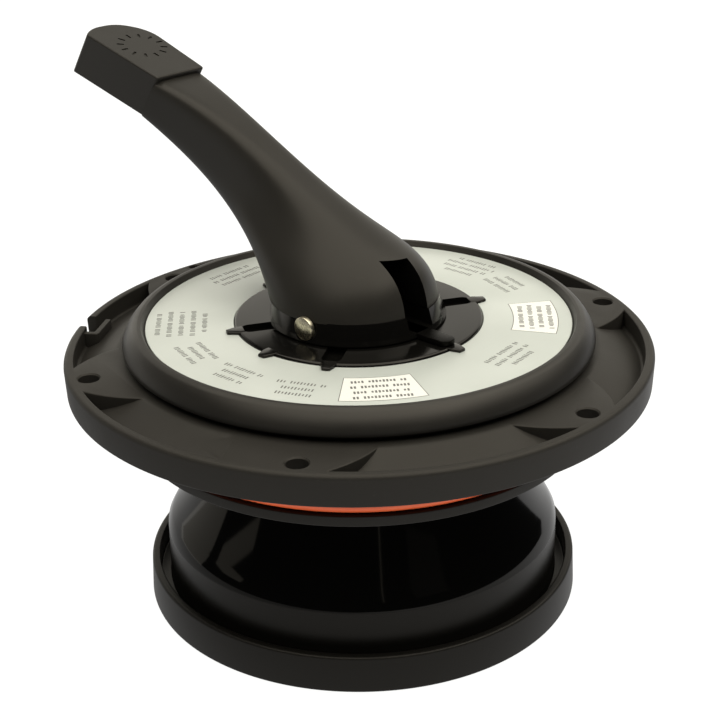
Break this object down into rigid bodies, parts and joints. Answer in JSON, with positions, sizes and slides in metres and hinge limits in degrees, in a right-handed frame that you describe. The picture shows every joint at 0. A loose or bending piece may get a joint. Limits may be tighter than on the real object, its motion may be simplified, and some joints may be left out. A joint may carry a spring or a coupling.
{
  "type": "multiport valve head",
  "caption": "Top half of a filter's multiport valve: round flanged cover with a position dial, cam lever, spring-loaded rotor and seals.",
  "frame": {"origin": "on the valve's axis, in the plane of the flange's underside, at the centre of the circle of screw holes", "axes": "+Z along the valve's axis from the rotor to the lever; +X along the lever's heading, towards its grip; +Y completes a right-handed set"},
  "size_m": [0.2246, 0.19, 0.1733],
  "materials": {
    "black_cover": "satin black moulded plastic with a fine grain",
    "black_gloss": "black moulded plastic, satin dome ring and polished centre disc",
    "label_film": "printed silver-grey film, satin",
    "red_rubber": "red-orange rubber, lightly greased",
    "black_rubber": "black rubber, greased",
    "slip_plastic": "dark slippery plastic",
    "stainless": "plain stainless steel",
    "spring_steel": "drawn stainless spring wire",
    "black_rotor": "glossy black moulded plastic, machined matte sealing bands",
    "black_lever": "satin black moulded plastic with a soft grain",
    "nickel": "nickel-plated, slightly yellow"
  },
  "bodies": {
    "cover": {"cover": "black_cover", "index_plate": "black_gloss", "index_plate_screws": "stainless", "position_label": "label_film", "cover_o_ring": "red_rubber", "spring_washer_upper": "stainless"},
    "turntable": {"thrust_washer": "slip_plastic"},
    "rotor": {"rotor": "black_rotor", "stem_o_ring_lower": "black_rubber", "stem_o_ring_upper": "black_rubber", "spring_washer_lower": "stainless", "return_spring": "spring_steel"},
    "lever": {"lever": "black_lever", "grip_cap": "black_lever", "grip_cap_screw": "stainless", "pivot_pin": "nickel", "pin_clip": "stainless"}
  },
  "joints": [
    {"name": "handle_turn", "type": "hinge", "parent": "cover", "child": "turntable", "pos_m": [0, 0, 0.018], "axis": [0, 0, 1], "continuous": true},
    {"name": "rotor_lift", "type": "slide", "parent": "turntable", "child": "rotor", "axis": [0, 0, 1], "range_m": [0, 0.005], "stiffness_N_per_m": 1200, "springref_m": -0.03, "deforming": ["return_spring"]},
    {"name": "lever_tilt", "type": "hinge", "parent": "rotor", "child": "lever", "pos_m": [-0.003, 0, 0.0228], "axis": [0, 1, 0], "range_deg": [0, 20]}
  ],
  "couplings": [
    {"joint": "rotor_lift", "follows": "lever_tilt", "m_per_rad": 0.0141}
  ]
}
